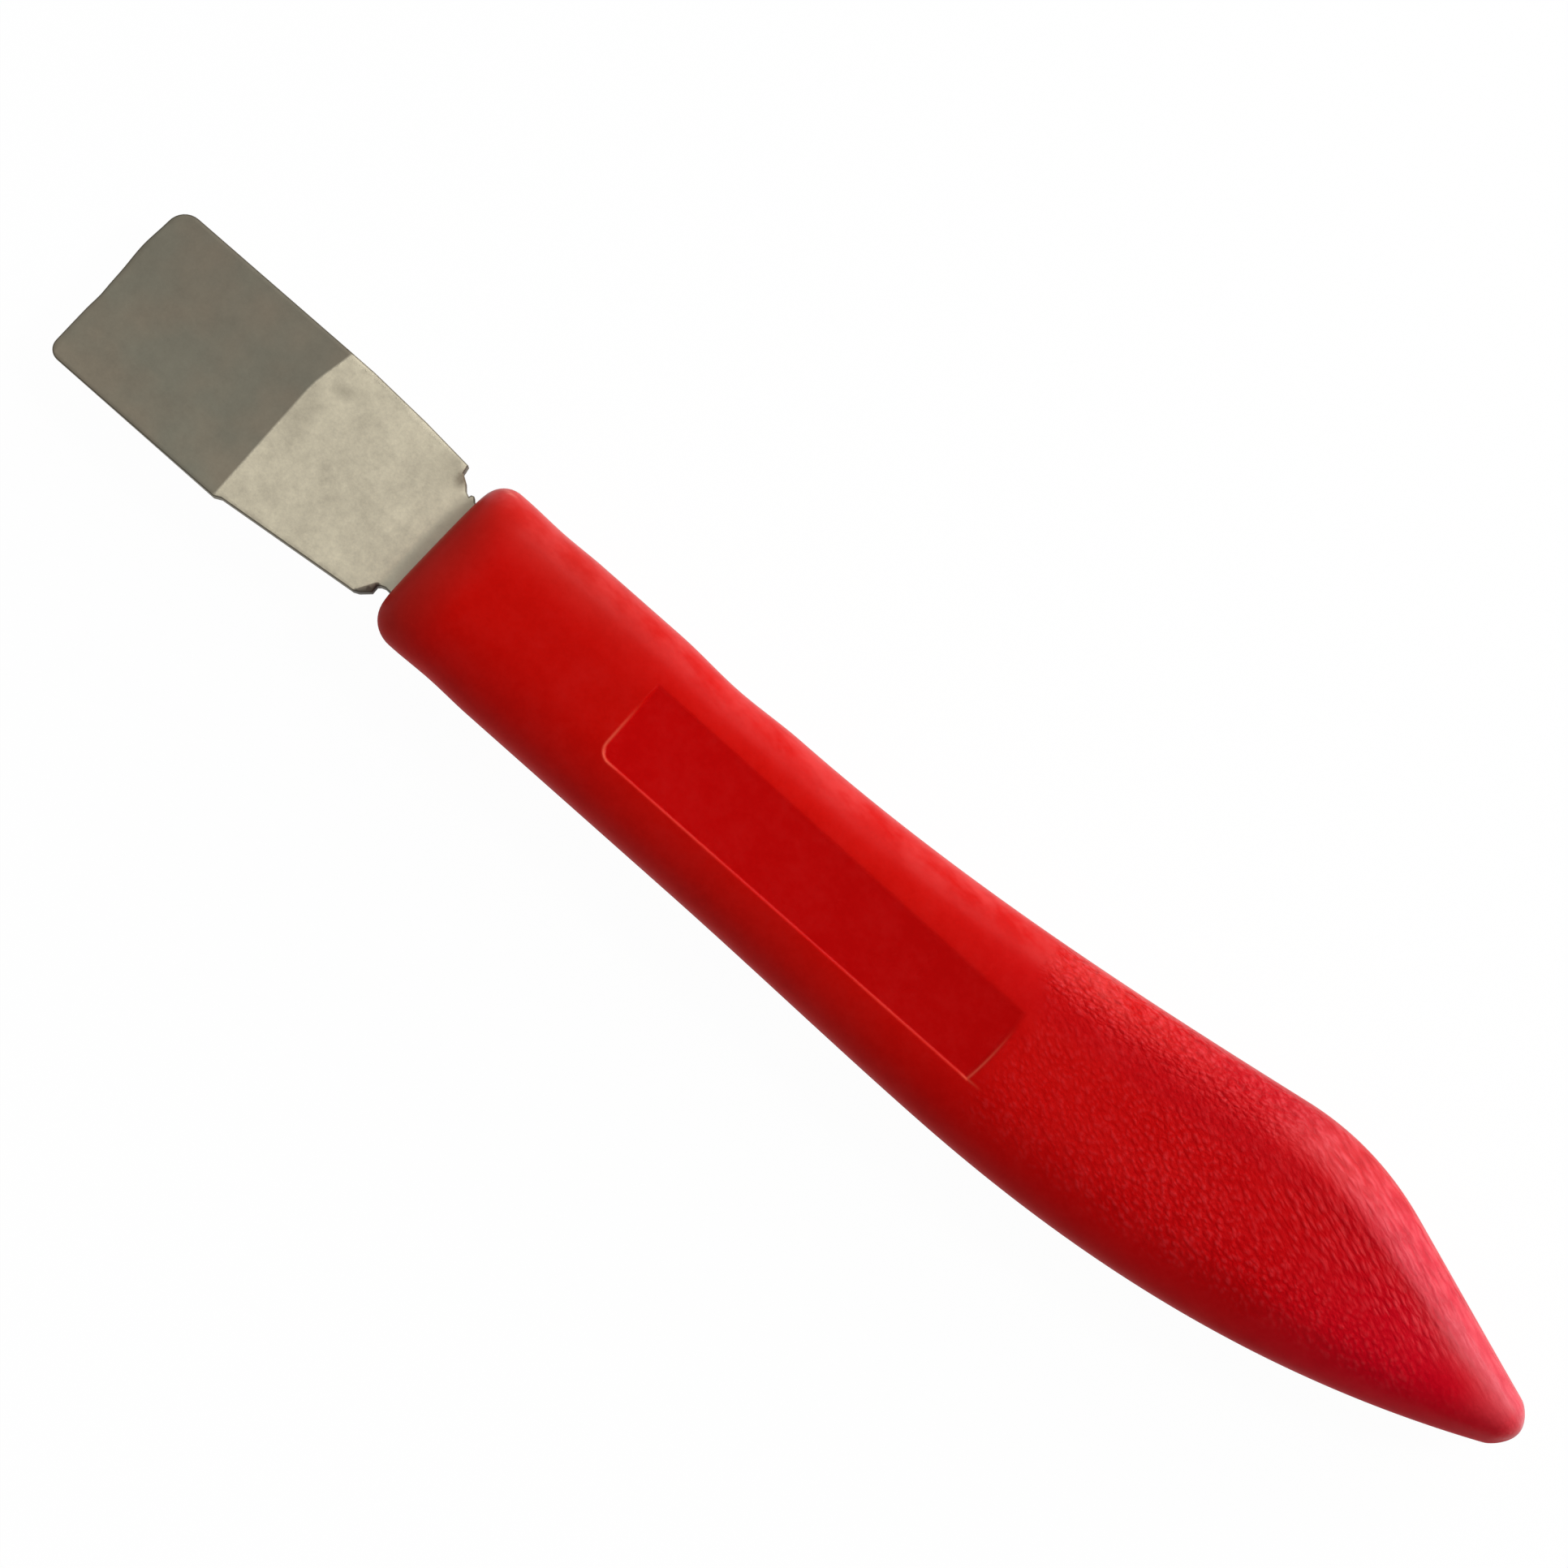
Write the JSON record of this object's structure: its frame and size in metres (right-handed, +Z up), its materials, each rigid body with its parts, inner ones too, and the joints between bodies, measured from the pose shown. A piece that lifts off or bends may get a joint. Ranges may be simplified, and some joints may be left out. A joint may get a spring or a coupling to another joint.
{
  "type": "hive tool",
  "caption": "Flat steel scraper and pry blade with a ground bevel, its tang moulded into a humped plastic handle with a shallow label panel and a rounded nose.",
  "frame": {"origin": "on the handle's flat underside, below the middle of the handle's length and on the tang's axis", "axes": "+X from the blade to the nose of the handle, +Y towards the handle's hump, +Z up from the flat underside"},
  "size_m": [0.182, 0.0275, 0.015],
  "materials": {
    "blade_steel": "satin flat, darker ground bevel",
    "handle_plastic": "matte moulded, leather grain on the rear"
  },
  "bodies": {
    "root": {"blade": "blade_steel", "handle": "handle_plastic"}
  },
  "joints": []
}
